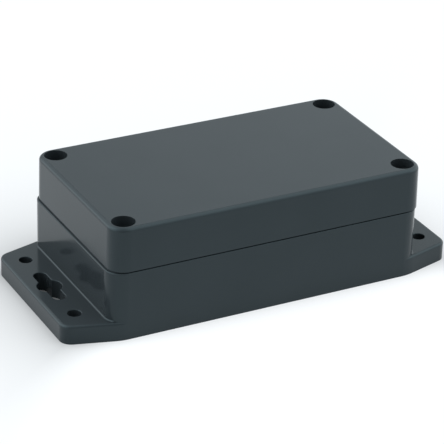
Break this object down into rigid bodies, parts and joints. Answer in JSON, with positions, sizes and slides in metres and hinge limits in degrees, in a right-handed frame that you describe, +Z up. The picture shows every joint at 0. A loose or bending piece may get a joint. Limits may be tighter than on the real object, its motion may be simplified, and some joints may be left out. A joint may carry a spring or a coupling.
{
  "type": "electronics enclosure",
  "caption": "Sealed plastic electronics enclosure with a screwed-down lid and flanges at both short ends for fastening to a wall or panel.",
  "frame": {"origin": "middle of the base's underside, the face that lies on the wall or table", "axes": "+X along the long side, from one mounting flange to the other; +Y to the rear long side; +Z up, out of the lid"},
  "size_m": [0.1446, 0.065, 0.04],
  "materials": {
    "housing_plastic": "dark graphite grey, smooth, semi-gloss, as moulded",
    "gasket_rubber": "matt black",
    "screw_steel": "plain stainless",
    "insert_brass": "turned"
  },
  "bodies": {
    "root": {"base": "housing_plastic", "lid": "housing_plastic", "lid_gasket": "gasket_rubber", "lid_screw_front_left": "screw_steel", "lid_screw_front_right": "screw_steel", "lid_screw_rear_left": "screw_steel", "lid_screw_rear_right": "screw_steel", "thread_insert_front_left": "insert_brass", "thread_insert_front_right": "insert_brass", "thread_insert_rear_left": "insert_brass", "thread_insert_rear_right": "insert_brass"}
  },
  "joints": []
}
